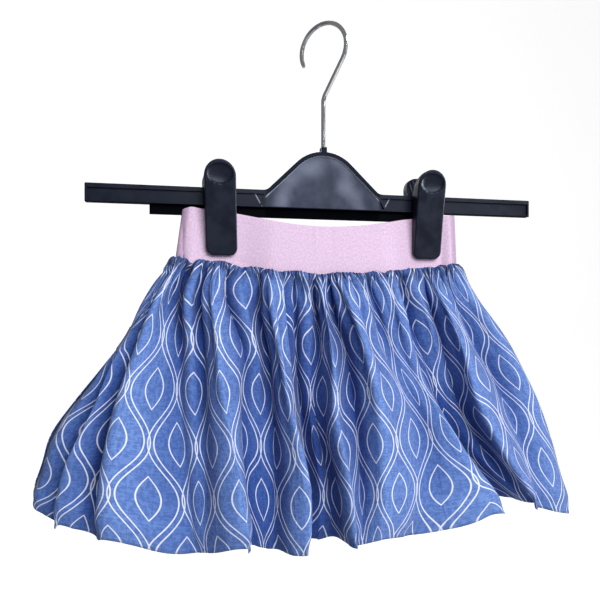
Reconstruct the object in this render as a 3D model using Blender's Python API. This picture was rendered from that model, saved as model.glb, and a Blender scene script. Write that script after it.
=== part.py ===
# A toddler's gathered skirt, held by its knit waistband in the two clips of a plastic hanger.
# The origin is the inner top of the hook, where a rod carries it. X runs along the hanger's bar,
# the front faces -Y and Z is up. The sizes below are in millimetres, with heights counted from
# the middle of the bar, and placed() turns them into Blender's metres.
import math
from collections import namedtuple

import bpy
import numpy as np

MM = 0.001
BAR_BELOW_ORIGIN = 128.0
SEAM_GAP = 0.3

# Hanger bar, hump and rail
BAR_HALF_LENGTH = 165.0
BAR_HALF_HEIGHT = 6.35
BAR_HALF_DEPTH = 3.0
BAR_EDGE = 0.5
HUMP_TOP = 35.6
HUMP_RADIUS = 29.0
HUMP_SIDE_ANGLE = 44.0
HUMP_FOOT_RADIUS = 7.0
NECK_HALF_WIDTH = 2.2
NECK_TOP = 39.2
RIM = 3.0
LOWER_RIM = 0.9
END_RIM = 1.6
RECESS = 1.5
RIB_X = 44.0
RIB_LEAN = 4.0
RIB_WIDTH = 1.1
RIB_SLANTED_WIDTH = RIB_WIDTH * 1.3
RAIL_LEFT = -123.0
RAIL_RIGHT = 88.0
RAIL_BOTTOM = -12.9
RAIL_FRONT = 0.4

# Hook
WIRE_RADIUS = 1.6
HOOK_RADIUS = 19.0
HOOK_CENTRE = BAR_BELOW_ORIGIN - HOOK_RADIUS + WIRE_RADIUS
HOOK_BEND = 75.0
HOOK_END_ANGLE = 205.0
HOOK_SWIVEL = -46.0

# Clips: one row for each level of a leaf, from its jaw up to its thumb end
CLIP_PLACES = {"left": -73.0, "right": 77.7}
CLIP_LEANS = {"left": -2.2, "right": 0.0}
LEAF_WIDTH = 20.0
LEAF_TOP = 23.2
LEAF_BOTTOM = -41.0
JAW_CORNER = 5.5
LEAF_EDGE = 1.1
DISH_HEIGHT = 13.6
DISH_HALF_SIZE = (8.9, 2.3, 6.9)
LeafLevel = namedtuple("LeafLevel", "height inner outer")
LEAF_LEVELS = (
    LeafLevel(-41.0, 2.6, 5.9),
    LeafLevel(-36.0, 2.7, 6.9),
    LeafLevel(-13.5, 3.3, 10.6),
    LeafLevel(6.8, 3.4, 14.5),
    LeafLevel(23.2, 13.6, 17.8),
)
SPRING_RADIUS = 0.8
SPRING_FOOT = 9.2
SPRING_RISE = 5.5

# Cloth walls
BAND_THICKNESS = 2.0
SKIRT_THICKNESS = 1.4
BAND_MIDDLE = SEAM_GAP / 2 + BAND_THICKNESS / 2 + 0.15
SKIRT_OUTSIDE_BAND = 3.0
PLAN_POWER = 2.6
SIDE_GAP = SEAM_GAP / 2 + 0.05
# Where a clip presses the cloth flat, and how that fades below its jaws
PINCH_HALF_WIDTH = 11.0
PINCH_FADE = 14.0
PINCH_HEIGHTS = (42.0, 50.0, 80.0)
PINCH_STRENGTHS = (1.0, 0.5, 0.0)
BAND_COLUMNS = 56
BAND_LEVELS = (0.0, 0.12, 0.45, 0.8, 1.0)
BAND_UNDER_SKIRT = 4.0
SEAM_OVERLAP = 1.5

# Plan of the waistband: its ends along X and its depth to the front and the back
BandRow = namedtuple("BandRow", "down left right front back")
BAND_ROWS = (
    BandRow(0.0, -100.0, 104.0, 5.0, 4.6),
    BandRow(1.0, -105.0, 106.0, 7.4, 6.8),
)
EdgePoint = namedtuple("EdgePoint", "x height")
BAND_TOP_FRONT = (
    EdgePoint(-101, -13.7), EdgePoint(-95, -8.6), EdgePoint(-88, -9.3), EdgePoint(-60, -12.0),
    EdgePoint(0, -18.0), EdgePoint(60, -12.0), EdgePoint(90, -9.2), EdgePoint(105, -7.6),
)
BAND_TOP_BACK = (
    EdgePoint(-101, -13.7), EdgePoint(-60, -14.6), EdgePoint(0, -18.0), EdgePoint(60, -14.8),
    EdgePoint(88, -13.7), EdgePoint(97, -10.0), EdgePoint(105, -7.6),
)
SEAM_LINE = (
    EdgePoint(-106, -43.5), EdgePoint(-95, -45.5), EdgePoint(-60, -49.5), EdgePoint(0, -52.6),
    EdgePoint(75, -49.2), EdgePoint(106, -44.5),
)

# Plan of the skirt at fractions of the way down: the ends, how far the front and back stand out,
# how far the side corners are set back, and how far the small gathers stand in and out
SkirtRow = namedtuple("SkirtRow", "down left right front back left_back right_back gather")
SKIRT_ROWS = (
    SkirtRow(0.00, -109.3, 110.3, 10.6, 10.0, 0, 0, 0.8),
    SkirtRow(0.03, -111.0, 112.0, 12.2, 11.4, 0, 0, 1.1),
    SkirtRow(0.08, -116.0, 114.0, 15.2, 13.8, 1, 0, 1.1),
    SkirtRow(0.16, -124.0, 122.5, 20.5, 17.5, 2, 0, 0.8),
    SkirtRow(0.30, -139.0, 141.5, 28.0, 23.0, 6, 0, 0.25),
    SkirtRow(0.44, -157.0, 157.5, 33.0, 27.0, 11, 1, 0.0),
    SkirtRow(0.58, -175.0, 172.0, 37.5, 30.5, 16, 2, 0.0),
    SkirtRow(0.72, -190.0, 183.0, 41.0, 33.5, 20, 3, 0.0),
    SkirtRow(0.86, -197.0, 192.0, 43.5, 36.5, 23, 4, 0.0),
    SkirtRow(1.00, -205.0, 202.5, 45.0, 39.0, 25, 4, 0.0),
)
HEM_FRONT = (
    EdgePoint(-206, -209.0), EdgePoint(-182, -217.0), EdgePoint(-150, -223.5),
    EdgePoint(-106, -231.0), EdgePoint(-70, -231.5), EdgePoint(-27, -237.0),
    EdgePoint(-8, -234.0), EdgePoint(14, -236.5), EdgePoint(65, -231.0),
    EdgePoint(117, -224.5), EdgePoint(148, -224.5),
    EdgePoint(174, -232.0), EdgePoint(205, -240.0),
)
HEM_BACK = (
    EdgePoint(-206, -209.0), EdgePoint(-160, -220.0), EdgePoint(-60, -232.0),
    EdgePoint(30, -235.0), EdgePoint(120, -228.0), EdgePoint(170, -231.0),
    EdgePoint(205, -240.0),
)

# Folds that run down the skirt. Each is a hollow between two lobes: where its middle lies along
# X at the seam, halfway down and at the hem, how deep it is near the top, halfway and at the
# hem, its half width near the top and at the hem, and how far the lobe beside it rolls over it
# (towards +X when positive).
Fold = namedtuple("Fold", "seam half hem deep_top deep_half deep_hem wide_top wide_hem roll")
FOLDS_FRONT = (
    Fold(-101, -164, -189, 1, 6, 9, 4, 8, 0),
    Fold(-94, -143, -161, 3, 13, 15, 4, 10, -4),
    Fold(-88, -102, -94, 4, 4, 4, 4, 15, 0),
    Fold(-76, -82, -80, 5, 3, 0, 4, 9, 0),
    Fold(-62, -56, -51, 5, 4, 0, 4, 10, 0),
    Fold(-46, -41, -42, 7, 9, 8, 4, 12, -2),
    Fold(-19, -18, -14, 6, 13, 21, 4, 8.5, 3),
    Fold(-1, -6, 4, 7, 10, 19, 4, 8.5, -3),
    Fold(12, 17, 18, 5, 6, 3, 4, 7, 0),
    Fold(35, 45, 44, 6, 2, 0, 4, 7, 0),
    Fold(51, 64, 53, 4, 3, 4, 4, 12, 0),
    Fold(66, 88, 139, 7, 15, 27, 6, 14, 1),
    Fold(85, 135, 172, 5, 7, 4, 4, 9, 2),
)
FOLDS_BACK = (
    Fold(-99, -150, -176, 3, 8, 10, 3.5, 9, 2),
    Fold(-84, -120, -139, 5, 11, 13, 4, 9, 4),
    Fold(-66, -83, -90, 5, 5, 3, 4, 12, 0),
    Fold(-47, -56, -66, 6, 9, 14, 6, 11, 0),
    Fold(-25, -30, -26, 5, 5, 2, 4, 10, 0),
    Fold(-6, -5, -9, 6, 9, 12, 4, 9, 3),
    Fold(14, 20, 33, 5, 5, 4, 4, 11, 0),
    Fold(33, 47, 64, 6, 10, 14, 5, 12, 0),
    Fold(53, 72, 86, 5, 4, 2, 4, 11, 0),
    Fold(71, 100, 123, 6, 10, 13, 4, 9, 3),
    Fold(90, 133, 163, 4, 7, 9, 4, 9, -2),
)
BAND_MIDDLE_TOP = -14.0
SEAM_MIDDLE_HEIGHT = -48.0
SKIRT_DROP = 186.0
GATHERS = 60
END_FADE = 24.0
DENSE = 800


def placed(points):
    """Millimetres about the middle of the bar, in metres about the hook's inner top."""
    points = np.asarray(points, float)
    return (points - (0.0, 0.0, BAR_BELOW_ORIGIN)) * MM


def ease(amount):
    amount = np.clip(amount, 0.0, 1.0)
    return amount * amount * (3 - 2 * amount)


def smooth_through(known_at, known, at):
    """A curve through the known values, with the slope at each taken from its neighbours."""
    known_at = np.asarray(known_at, float)
    known = np.asarray(known, float)
    slope = np.gradient(known, known_at)
    place = np.clip(np.searchsorted(known_at, at) - 1, 0, len(known_at) - 2)
    span = known_at[place + 1] - known_at[place]
    part = np.clip((at - known_at[place]) / span, 0.0, 1.0)
    start, end = known[place], known[place + 1]
    rise, fall = slope[place] * span, slope[place + 1] * span
    cubed = 2 * start + rise - 2 * end + fall
    squared = -3 * start + 3 * end - 2 * rise - fall
    return ((cubed * part + squared) * part + rise) * part + start


def table_value(rows, column, down):
    return smooth_through([row.down for row in rows], [getattr(row, column) for row in rows], down)


def edge_height(edge, x):
    return smooth_through([point.x for point in edge], [point.height for point in edge], x)


def material(name, colour, roughness, metallic=0.0):
    made = bpy.data.materials.new(name)
    made.use_nodes = True
    shader = made.node_tree.nodes["Principled BSDF"]
    shader.inputs["Base Color"].default_value = (*colour, 1.0)
    shader.inputs["Roughness"].default_value = roughness
    shader.inputs["Metallic"].default_value = metallic
    return made


def add_object(name, data, look):
    obj = bpy.data.objects.new(name, data)
    bpy.context.collection.objects.link(obj)
    data.materials.append(look)
    return obj


def add_mesh(name, points, faces, look, smooth=True):
    mesh = bpy.data.meshes.new(name)
    mesh.from_pydata(placed(points).tolist(), [], faces)
    mesh.update()
    if smooth:
        mesh.shade_smooth()
        mesh.set_sharp_from_angle(angle=math.radians(40))
    return add_object(name, mesh, look)


def add_modifier(obj, kind, name, **settings):
    modifier = obj.modifiers.new(name, kind)
    for setting, value in settings.items():
        setattr(modifier, setting, value)
    return modifier


def arc(centre, radius, start, end, count):
    """Points on a circle in X and height, from one angle to another in degrees from +X."""
    angles = np.radians(np.linspace(start, end, count))
    return [(centre[0] + radius * math.cos(a), centre[1] + radius * math.sin(a)) for a in angles]


def hump_side(inset, arc_points):
    """The hump's right side from its top down to where it meets the bar's top, drawn in by inset."""
    angle = math.radians(HUMP_SIDE_ANGLE)
    centre = (0.0, HUMP_TOP - HUMP_RADIUS)
    round_top = arc(centre, HUMP_RADIUS - inset, 90, 90 - HUMP_SIDE_ANGLE, arc_points)
    base = BAR_HALF_HEIGHT - inset
    tangent_x, tangent_z = round_top[-1]
    corner_x = tangent_x + (tangent_z - base) / math.tan(angle)
    radius = HUMP_FOOT_RADIUS + inset
    reach = radius * math.tan(angle / 2)
    foot = arc((corner_x + reach, base + radius), radius, 270 - HUMP_SIDE_ANGLE, 270, 5)
    return round_top + foot


def prism(name, outline, back, front, look):
    """An outline in X and height, pushed out from one depth to another along Y."""
    count = len(outline)
    points = [(x, y, z) for y in (front, back) for x, z in outline]
    faces = [list(range(count - 1, -1, -1)), list(range(count, 2 * count))]
    faces += [[i, (i + 1) % count, (i + 1) % count + count, i + count] for i in range(count)]
    return add_mesh(name, points, faces, look, smooth=False)


def mirrored(side):
    """The side's points, then the same ones across the hanger's middle in reverse."""
    return side + [(-x, z) for x, z in reversed(side)]


def helper(obj):
    obj.hide_render = True
    obj.display_type = "WIRE"
    return obj


def bar_outline():
    neck = [(NECK_HALF_WIDTH, NECK_TOP)]
    side = [point for point in hump_side(0.0, 9) if point[0] > NECK_HALF_WIDTH]
    root = HUMP_TOP - HUMP_RADIUS + math.sqrt(HUMP_RADIUS**2 - NECK_HALF_WIDTH**2)
    ends = [(BAR_HALF_LENGTH, BAR_HALF_HEIGHT), (BAR_HALF_LENGTH, -BAR_HALF_HEIGHT)]
    return mirrored(neck + [(NECK_HALF_WIDTH, root)] + side + ends)


def recess_outlines():
    """The hollows in the front face: under the hump, and one channel on either side of it.

    A slanting rib stands between them."""
    floor = LOWER_RIM - BAR_HALF_HEIGHT
    roof = BAR_HALF_HEIGHT - RIM
    hump = [point for point in hump_side(RIM, 9) if point[0] < RIB_X - RIB_LEAN / 2]
    hump = mirrored(hump[1:] + [(RIB_X - RIB_LEAN / 2, roof), (RIB_X + RIB_LEAN / 2, floor)])
    hump = hump + [(0.0, HUMP_TOP - RIM)]
    channel = [
        (RIB_X - RIB_LEAN / 2 + RIB_SLANTED_WIDTH, roof),
        (BAR_HALF_LENGTH - END_RIM, roof),
        (BAR_HALF_LENGTH - END_RIM, floor),
        (RIB_X + RIB_LEAN / 2 + RIB_SLANTED_WIDTH, floor),
    ]
    return {
        "recess_hump": hump,
        "recess_right": channel,
        "recess_left": [(-x, z) for x, z in reversed(channel)],
    }


def build_hanger(plastic):
    body = prism("hanger_body", bar_outline(), BAR_HALF_DEPTH, -BAR_HALF_DEPTH, plastic)
    add_modifier(
        body, "BEVEL", "Rounded edges", width=BAR_EDGE * MM, segments=2, limit_method="ANGLE",
        angle_limit=math.radians(50),
    )
    rail = [
        (RAIL_LEFT, RAIL_BOTTOM), (RAIL_LEFT, 0.0), (RAIL_RIGHT, 0.0), (RAIL_RIGHT, RAIL_BOTTOM),
    ]
    joined = helper(prism("rail_shape", rail, BAR_HALF_DEPTH - 0.15, RAIL_FRONT, plastic))
    add_modifier(body, "BOOLEAN", "Lower rail", operation="UNION", object=joined)
    for name, outline in recess_outlines().items():
        cutter = prism(name, outline, RECESS - BAR_HALF_DEPTH, -BAR_HALF_DEPTH - 2, plastic)
        add_modifier(body, "BOOLEAN", name, operation="DIFFERENCE", object=helper(cutter))
    return body


def wire(name, points, radius, look, tip_points=0):
    """A round wire along the points, its last few drawn in to a rounded tip."""
    curve = bpy.data.curves.new(name, "CURVE")
    curve.dimensions = "3D"
    curve.bevel_depth = radius * MM
    curve.bevel_resolution = 2
    curve.use_fill_caps = True
    spline = curve.splines.new("POLY")
    spline.points.add(len(points) - 1)
    for point, place in zip(spline.points, placed(points)):
        point.co = (*place, 1.0)
    for step in range(tip_points):
        spline.points[-1 - step].radius = math.sin(math.radians(30 + 60 * step / tip_points))
    return add_object(name, curve, look)


def build_hook(chrome):
    centre = (0.0, HOOK_CENTRE)
    apart = HOOK_CENTRE - HOOK_BEND
    meets = math.degrees(math.acos(HOOK_RADIUS / apart)) - 90
    stem = [(0.0, height) for height in (NECK_TOP + SEAM_GAP, 50.0, 62.0, 70.0, 73.5)]
    loop_start = arc(centre, HOOK_RADIUS, meets, meets, 1)[0]
    leaving = [
        (loop_start[0] * part, HOOK_BEND + (loop_start[1] - HOOK_BEND) * part)
        for part in (0.07, 0.3, 0.65)
    ]
    loop = arc(centre, HOOK_RADIUS, meets, HOOK_END_ANGLE, 27)
    tip = arc(centre, HOOK_RADIUS, HOOK_END_ANGLE + 1.6, HOOK_END_ANGLE + 3.6, 2)
    route = stem + leaving + loop + tip
    turn = math.radians(HOOK_SWIVEL)
    points = [(s * math.cos(turn), s * math.sin(turn), height) for s, height in route]
    return wire("hook", points, WIRE_RADIUS, chrome, tip_points=3)


def leaf_value(column, height):
    heights = [level.height for level in LEAF_LEVELS]
    return float(np.interp(height, heights, [getattr(level, column) for level in LEAF_LEVELS]))


def leaf_half_width(height):
    """Half the leaf's width: a half round on top, straight sides and rounded jaw corners."""
    half = LEAF_WIDTH / 2
    over = height - (LEAF_TOP - half)
    if over > 0:
        return math.sqrt(max(half**2 - over**2, 0.0))
    under = LEAF_BOTTOM + JAW_CORNER - height
    if under > 0:
        return half - JAW_CORNER + math.sqrt(max(JAW_CORNER**2 - under**2, 0.0))
    return half


def leaf_heights():
    half = LEAF_WIDTH / 2
    top = [LEAF_TOP - half * (1 - math.sin(math.radians(a))) for a in (84, 68, 50, 30, 0)]
    jaw = [LEAF_BOTTOM + JAW_CORNER * (1 - math.cos(math.radians(a))) for a in (90, 55, 25, 8)]
    return top + [6.8, -3.5, -13.5, -24.0] + jaw


def build_leaf(name, facing, middle, lean, plastic):
    """One leaf of a clip, as level sections from its thumb end to its jaw.

    facing is -1 for the front leaf and 1 for the back one."""
    points = []
    for height in leaf_heights():
        wide = leaf_half_width(height)
        inner, outer = leaf_value("inner", height), leaf_value("outer", height)
        edge = min(LEAF_EDGE, wide * 0.4, (outer - inner) * 0.4)
        section = [
            (-wide + edge, outer), (-wide, outer - edge), (-wide, inner + edge * 0.4),
            (-wide + edge * 0.4, inner), (wide - edge * 0.4, inner), (wide, inner + edge * 0.4),
            (wide, outer - edge), (wide - edge, outer),
        ]
        shift = middle + (height - LEAF_BOTTOM) * math.tan(math.radians(lean))
        points += [(shift + x, facing * y, height) for x, y in section]
    sides, rings = 8, len(leaf_heights())
    faces = [list(range(sides)), list(range(rings * sides - 1, (rings - 1) * sides - 1, -1))]
    for ring in range(rings - 1):
        for i in range(sides):
            low, high = ring * sides + i, ring * sides + (i + 1) % sides
            faces.append([high, low, low + sides, high + sides])
    if facing > 0:
        faces = [face[::-1] for face in faces]
    leaf = add_mesh(name, points, faces, plastic)
    level = leaf_value("outer", DISH_HEIGHT)
    slope = math.atan2(leaf_value("outer", LEAF_TOP) - level, LEAF_TOP - DISH_HEIGHT)
    dish_x = middle + (DISH_HEIGHT - LEAF_BOTTOM) * math.tan(math.radians(lean))
    bpy.ops.mesh.primitive_uv_sphere_add(segments=20, ring_count=10, radius=1.0)
    dish = helper(bpy.context.object)
    dish.name = name + "_dish"
    dish.scale = [size * MM for size in DISH_HALF_SIZE]
    dish.location = placed([dish_x, facing * level, DISH_HEIGHT])
    dish.rotation_euler = (-facing * slope, 0.0, 0.0)
    add_modifier(leaf, "BOOLEAN", "Thumb dish", operation="DIFFERENCE", object=dish)
    return leaf


def build_clip(side, plastic, steel):
    middle, lean = CLIP_PLACES[side], CLIP_LEANS[side]
    build_leaf(f"clip_{side}_front", -1, middle, lean, plastic)
    build_leaf(f"clip_{side}_back", 1, middle, lean, plastic)
    reach = leaf_value("inner", SPRING_FOOT) - SPRING_RADIUS * 0.8 - SEAM_GAP
    shift = middle + (SPRING_FOOT - LEAF_BOTTOM) * math.tan(math.radians(lean))
    bow = [
        (shift, reach * math.cos(a), SPRING_FOOT + SPRING_RADIUS + SPRING_RISE * math.sin(a))
        for a in np.radians(np.linspace(180, 0, 9))
    ]
    wire(f"clip_{side}_spring", bow, SPRING_RADIUS, steel)


def pinch_open(x, height):
    """How open the band is beside the clips: 0 between the jaws, 1 well clear of them."""
    jaw = np.interp(-height, PINCH_HEIGHTS, PINCH_STRENGTHS)
    shut = np.zeros_like(x)
    for middle in CLIP_PLACES.values():
        away = (np.abs(x - middle) - PINCH_HALF_WIDTH) / PINCH_FADE
        shut = np.maximum(shut, 1 - ease(away))
    return 1 - shut * jaw


def plan_curve(left, right, depth, left_back, right_back, facing, least, height):
    """Dense points of one half of the garment's level outline, from its left side to its right.

    It is a squared-off half ellipse whose ends may be set back, pressed flat at the clips."""
    turn = np.linspace(-math.pi / 2, math.pi / 2, DENSE)
    across = np.sign(np.sin(turn)) * np.abs(np.sin(turn)) ** (2 / PLAN_POWER)
    bulge = np.abs(np.cos(turn)) ** (2 / PLAN_POWER)
    x = (left + right) / 2 + (right - left) / 2 * across
    stand = depth * bulge
    opened = pinch_open(x, height)
    pressed = least + (stand - least) * opened
    stand = np.where(stand > least, pressed, stand)
    corner = np.where(across < 0, left_back, right_back) * np.abs(across) ** 4
    y = corner + facing * (SIDE_GAP + stand)
    return x, y


def arc_lengths(x, y):
    steps = np.hypot(np.diff(x), np.diff(y))
    return np.concatenate([[0.0], np.cumsum(steps)])


def three_point(first, half, last, down):
    """The parabola through its values at 0, one half and 1."""
    return first * (1 - down) * (1 - 2 * down) + 4 * half * down * (1 - down) + last * down * (
        2 * down - 1
    )


def fold_shift(folds, x, length, down):
    """How far each point of a level outline is drawn in and moved along by the folds."""
    inward, along = np.zeros_like(length), np.zeros_like(length)
    for fold in folds:
        middle = np.interp(three_point(fold.seam, fold.half, fold.hem, down), x, length)
        grown = three_point(fold.deep_top, fold.deep_half, fold.deep_hem, down)
        deep = max(grown, 0.0) * ease(down / 0.12)
        wide = fold.wide_top + (fold.wide_hem - fold.wide_top) * down
        inward += deep * np.exp(-(((length - middle) / wide) ** 2))
        shoulder = middle - math.copysign(wide, fold.roll)
        roll = fold.roll * ease(down / 0.4)
        along += roll * np.exp(-(((length - shoulder) / wide) ** 2))
    return inward, along


def grid_normals(grid, facing):
    """Unit normals of a grid of points, facing out of the garment, level at its two sides."""
    down = np.gradient(grid, axis=0)
    across = np.gradient(grid, axis=1)
    normal = np.cross(across, down) * facing
    normal[:, [0, -1], 1] = 0.0
    return normal / np.linalg.norm(normal, axis=2, keepdims=True)


def wall(name, middle, normal, thickness, facing, look):
    """A closed wall about a grid of middle points: outer face, inner face and four edges."""
    rows, columns = middle.shape[:2]
    outer = middle + normal * thickness / 2
    inner = middle - normal * thickness / 2
    points = np.concatenate([outer.reshape(-1, 3), inner.reshape(-1, 3)])
    index = np.arange(rows * columns).reshape(rows, columns)
    back = index + rows * columns
    a, b, c, d = index[:-1, :-1], index[:-1, 1:], index[1:, 1:], index[1:, :-1]
    quads = [np.stack([d, c, b, a], -1).reshape(-1, 4)]
    quads += [np.stack([back[:-1, :-1], back[:-1, 1:], back[1:, 1:], back[1:, :-1]], -1).reshape(-1, 4)]
    rim = np.concatenate([index[0], index[1:, -1], index[-1, -2::-1], index[-2:0:-1, 0]])
    following = np.roll(rim, -1)
    step = rows * columns
    quads += [np.stack([rim, following, following + step, rim + step], -1)]
    faces = np.concatenate(quads)
    if facing > 0:
        faces = faces[:, ::-1]
    return add_mesh(name, points, faces.tolist(), look)


def band_grid(facing):
    top_edge = BAND_TOP_FRONT if facing < 0 else BAND_TOP_BACK
    column = "front" if facing < 0 else "back"
    rows = []
    for down in BAND_LEVELS:
        left, right, depth = (
            float(np.interp(down, [0, 1], [getattr(row, key) for row in BAND_ROWS]))
            for key in ("left", "right", column)
        )
        level = BAND_MIDDLE_TOP + (SEAM_MIDDLE_HEIGHT - BAND_MIDDLE_TOP) * down
        x, y = plan_curve(left, right, depth, 0, 0, facing, BAND_MIDDLE, level)
        length = arc_lengths(x, y)
        even = np.linspace(0, length[-1], BAND_COLUMNS + 1)
        x, y = np.interp(even, length, x), np.interp(even, length, y)
        top = edge_height(top_edge, x)
        bottom = edge_height(SEAM_LINE, x) - BAND_UNDER_SKIRT
        rows.append(np.stack([x, y, top + (bottom - top) * down], -1))
    return np.array(rows)


def build_band(facing, look):
    name = "waistband_front" if facing < 0 else "waistband_back"
    grid = band_grid(facing)
    return wall(name, grid, grid_normals(grid, facing), BAND_THICKNESS, facing, look)


def skirt_row(facing, down):
    """One level row of a skirt panel, and the way each of its points faces in plan."""
    side = "front" if facing < 0 else "back"
    left, right, depth, left_back, right_back = (
        table_value(SKIRT_ROWS, key, down)
        for key in ("left", "right", side, "left_back", "right_back")
    )
    least = BAND_MIDDLE + SKIRT_OUTSIDE_BAND
    level = SEAM_MIDDLE_HEIGHT - SKIRT_DROP * down
    x, y = plan_curve(left, right, depth, left_back, right_back, facing, least, level)
    length = arc_lengths(x, y)
    slope_x, slope_y = np.gradient(x, length), np.gradient(y, length)
    folds = FOLDS_FRONT if facing < 0 else FOLDS_BACK
    inward, along = fold_shift(folds, x, length, down)
    ends = ease(np.minimum(length, length[-1] - length) / END_FADE)
    out_x, out_y = -facing * slope_y, facing * slope_x
    folded_x = x + (along * slope_x - inward * out_x) * ends
    folded_y = y + (along * slope_y - inward * out_y) * ends
    top = edge_height(SEAM_LINE, x) + SEAM_OVERLAP
    bottom = edge_height(HEM_FRONT if facing < 0 else HEM_BACK, x)
    height = top + (bottom - top) * down
    even = np.linspace(0, length[-1], 2 * GATHERS + 1)
    return np.stack([np.interp(even, length, values) for values in (folded_x, folded_y, height)], -1)


def gather_steps():
    """In and out by turns along a panel, each gather a little stronger or weaker than the next."""
    number = np.arange(2 * GATHERS + 1)
    uneven = 0.78 + 0.13 * np.sin(number * 1.9) + 0.09 * np.sin(number * 0.71 + 1.0)
    fade = ease(np.minimum(number, 2 * GATHERS - number) / 8)
    return np.where(number % 2 == 0, -1.0, 1.0) * uneven * fade


def build_skirt(facing, look):
    name = "skirt_front" if facing < 0 else "skirt_back"
    levels = [row.down for row in SKIRT_ROWS]
    grid = np.array([skirt_row(facing, down) for down in levels])
    normal = grid_normals(grid, facing)
    strength = np.array([row.gather for row in SKIRT_ROWS])
    puff = strength[:, None] * gather_steps()[None, :]
    middle = grid + normal * puff[:, :, None]
    return wall(name, middle, normal, SKIRT_THICKNESS, facing, look)


def clear_scene():
    for obj in list(bpy.data.objects):
        bpy.data.objects.remove(obj)


def build_all():
    clear_scene()
    plastic = material("Black plastic", (0.018, 0.02, 0.03), 0.42)
    chrome = material("Chrome wire", (0.8, 0.8, 0.82), 0.15, 1.0)
    steel = material("Spring steel", (0.6, 0.6, 0.62), 0.3, 1.0)
    knit = material("Pink knit", (0.8, 0.6, 0.8), 0.9)
    chambray = material("Blue chambray", (0.08, 0.17, 0.5), 0.85)
    build_hanger(plastic)
    build_hook(chrome)
    for side in CLIP_PLACES:
        build_clip(side, plastic, steel)
    for facing in (-1, 1):
        build_band(facing, knit)
        build_skirt(facing, chambray)


build_all()
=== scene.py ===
import math

import bpy
import numpy as np
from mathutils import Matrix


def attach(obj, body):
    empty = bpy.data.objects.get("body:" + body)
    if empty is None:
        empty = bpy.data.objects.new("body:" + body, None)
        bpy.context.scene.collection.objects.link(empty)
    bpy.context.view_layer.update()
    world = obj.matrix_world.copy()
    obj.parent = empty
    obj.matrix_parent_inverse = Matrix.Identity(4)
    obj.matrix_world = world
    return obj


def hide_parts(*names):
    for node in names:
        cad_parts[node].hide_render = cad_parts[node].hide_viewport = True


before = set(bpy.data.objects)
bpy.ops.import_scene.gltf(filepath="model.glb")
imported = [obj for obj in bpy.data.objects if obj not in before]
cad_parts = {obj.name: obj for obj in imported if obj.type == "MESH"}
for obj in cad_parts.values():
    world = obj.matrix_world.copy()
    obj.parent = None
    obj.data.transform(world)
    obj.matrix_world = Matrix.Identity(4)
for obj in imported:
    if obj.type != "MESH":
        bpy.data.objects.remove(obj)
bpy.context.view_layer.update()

# Working sizes are millimetres about the middle of the hanger's bar
mm = 0.001
barBelowOrigin = 128.0
seamGap = 0.3

camera = {"place": (-0.1075, -0.4241, -0.207), "turn": -12.0, "lens": 36.0, "shiftUp": 0.0167}
light = {
    "key": {"at": (0.45, -1.55, 0.75), "size": (1.3, 1.3), "power": 48.0, "colour": (1.0, 0.985, 0.96)},
    "side": {"at": (1.5, -0.4, 0.3), "size": (0.6, 0.6), "power": 3.0, "colour": (0.95, 0.97, 1.0)},
    "back": {"at": (-0.6, 1.4, 0.7), "size": (1.0, 1.0), "power": 5.0, "colour": (1.0, 1.0, 1.0)},
    "gloss": {"at": (1.3, -0.35, 0.15), "size": (0.4, 1.4), "power": 50.0, "colour": (0.9, 0.95, 1.0)},
    "ambient": 0.05, "mirrored": 0.2, "aimHeight": -0.22,
}
floor = {
    "below": -0.62, "front": -3.2, "wallAt": 2.3, "bend": 0.9, "wall": 3.0, "halfWide": 4.0, "rows": 60,
    "bendRun": (0.4, 0.6), "colour": (0.6, 0.61, 0.62), "paler": 1.03, "cloudScale": 3.0, "glow": 0.8,
}


# Small sums used by every surface

def placed(points):  # millimetres about the bar to metres about the hook
    return (np.asarray(points, float) - (0.0, 0.0, barBelowOrigin)) * mm


def ease(amount):  # 0 to 1 with level ends
    amount = np.clip(amount, 0.0, 1.0)
    return amount * amount * (3 - 2 * amount)


def smoothThrough(knownAt, known, at):  # cubic through the values, slopes from the neighbours
    knownAt = np.asarray(knownAt, float)
    known = np.asarray(known, float)
    slope = np.gradient(known, knownAt)
    place = np.clip(np.searchsorted(knownAt, at) - 1, 0, len(knownAt) - 2)
    span = knownAt[place + 1] - knownAt[place]
    part = np.clip((at - knownAt[place]) / span, 0.0, 1.0)
    start, end = known[place], known[place + 1]
    rise, fall = slope[place] * span, slope[place + 1] * span
    cubed = 2 * start + rise - 2 * end + fall
    squared = -3 * start + 3 * end - 2 * rise - fall
    return ((cubed * part + squared) * part + rise) * part + start


def alongEdge(edge, x):  # an edge given as points of x and height
    return smoothThrough([point[0] for point in edge], [point[1] for point in edge], x)


def wander(at, seed, waves=7, slowest=1.0, fastest=5.0):  # a few seeded sine waves, within about 1
    rng = np.random.default_rng(seed)
    total = np.zeros_like(np.asarray(at, float))
    for _ in range(waves):
        pace = rng.uniform(slowest, fastest)
        total = total + np.sin(2 * math.pi * (pace * at + rng.uniform())) * rng.uniform(0.5, 1.0)
    return total / (waves * 0.45)


def newMesh(name, points, quads, uv=None, sharp=None, values=None):
    mesh = bpy.data.meshes.new(name)
    mesh.from_pydata(placed(points).tolist(), [], quads.tolist())
    if uv is not None:
        layer = mesh.uv_layers.new(name="cloth")
        corner = np.zeros(len(mesh.loops), np.int32)
        mesh.loops.foreach_get("vertex_index", corner)
        layer.data.foreach_set("uv", uv[corner].astype(np.float32).ravel())
    for label, amount in (values or {}).items():
        attribute = mesh.attributes.new(label, "FLOAT", "POINT")
        attribute.data.foreach_set("value", amount.astype(np.float32).ravel())
    mesh.shade_smooth()
    if sharp:
        mesh.set_sharp_from_angle(angle=math.radians(sharp))
    piece = bpy.data.objects.new(name, mesh)
    bpy.context.collection.objects.link(piece)
    return piece


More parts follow.
